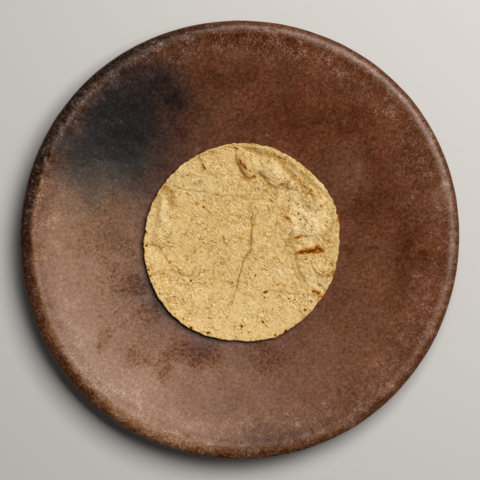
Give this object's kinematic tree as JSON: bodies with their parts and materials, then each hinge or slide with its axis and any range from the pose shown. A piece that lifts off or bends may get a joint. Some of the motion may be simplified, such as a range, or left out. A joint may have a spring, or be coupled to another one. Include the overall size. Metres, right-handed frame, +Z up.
{
  "type": "corn tortilla on clay comal",
  "caption": "Round hand-pressed corn tortilla with puffed blisters and toast spots, lying in a shallow round burnished clay griddle with a soft rounded lip.",
  "frame": {"origin": "middle of the comal's flat foot, on the surface that it stands on", "axes": "+Z up, out of the dish; seen from above with +X to the right and +Y away, the tortilla's blisters are on its far side and to the right"},
  "size_m": [0.332, 0.3314, 0.0315],
  "materials": {
    "clay": "satin",
    "dough": "matte"
  },
  "bodies": {
    "root": {"comal": "clay", "tortilla": "dough"}
  },
  "joints": []
}
